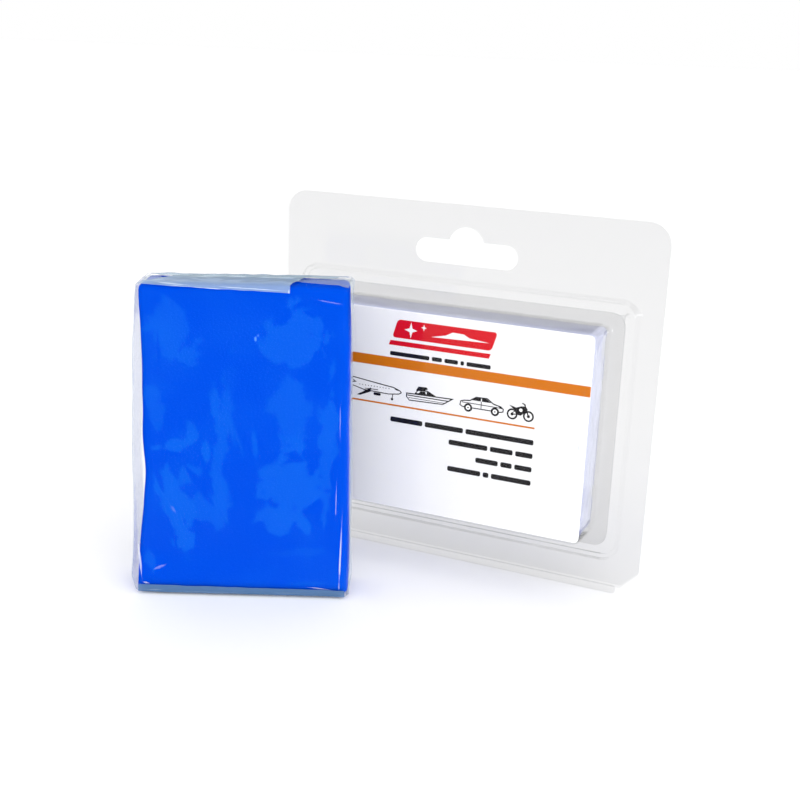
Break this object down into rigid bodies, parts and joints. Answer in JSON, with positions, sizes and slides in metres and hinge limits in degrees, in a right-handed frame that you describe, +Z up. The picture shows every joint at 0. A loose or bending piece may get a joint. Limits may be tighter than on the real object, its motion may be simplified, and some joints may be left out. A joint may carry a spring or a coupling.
{
  "type": "clay bar",
  "caption": "Blue detailing clay slab in folded clear film, standing in front of its hinged clear hang pack with a printed card and a second wrapped slab inside.",
  "frame": {"origin": "centre of the loose bar's folded lower end, where it stands on the table", "axes": "+Z up, the loose bar's broad front faces -Y and its width runs along X; the pack stands behind it towards +X, turned 24 degrees clockwise seen from above"},
  "size_m": [0.1445, 0.0581, 0.1093],
  "materials": {
    "clay": "matte putty",
    "film": "glossy, crinkled clear film",
    "clear_sheet": "glossy clear formed sheet",
    "card": "coated, printed"
  },
  "bodies": {
    "clay_bar": {"clay_block": "clay", "film_sleeve": "film", "film_lap_seam": "film", "top_left_tuck": "film", "top_right_tuck": "film", "top_inner_flap": "film", "top_outer_flap": "film", "bottom_left_tuck": "film", "bottom_right_tuck": "film", "bottom_inner_flap": "film", "bottom_outer_flap": "film"},
    "pack_front": {"front_shell": "clear_sheet", "hinge_roll": "clear_sheet", "label_card": "card", "packed_clay_block": "clay", "packed_film_sleeve": "film", "packed_film_lap_seam": "film", "packed_top_left_tuck": "film", "packed_top_right_tuck": "film", "packed_top_inner_flap": "film", "packed_top_outer_flap": "film", "packed_bottom_left_tuck": "film", "packed_bottom_right_tuck": "film", "packed_bottom_inner_flap": "film", "packed_bottom_outer_flap": "film"},
    "back_cover": {"back_shell": "clear_sheet"}
  },
  "joints": [
    {"name": "pack_lift", "type": "slide", "parent": "clay_bar", "child": "pack_front", "axis": [0, 0, 1], "range_m": [0, 0.12]},
    {"name": "cover_hinge", "type": "hinge", "parent": "pack_front", "child": "back_cover", "pos_m": [0.06104, 0.02469, 0.0012], "axis": [-0.9135, 0.4067, 0], "range_deg": [0, 90]}
  ]
}
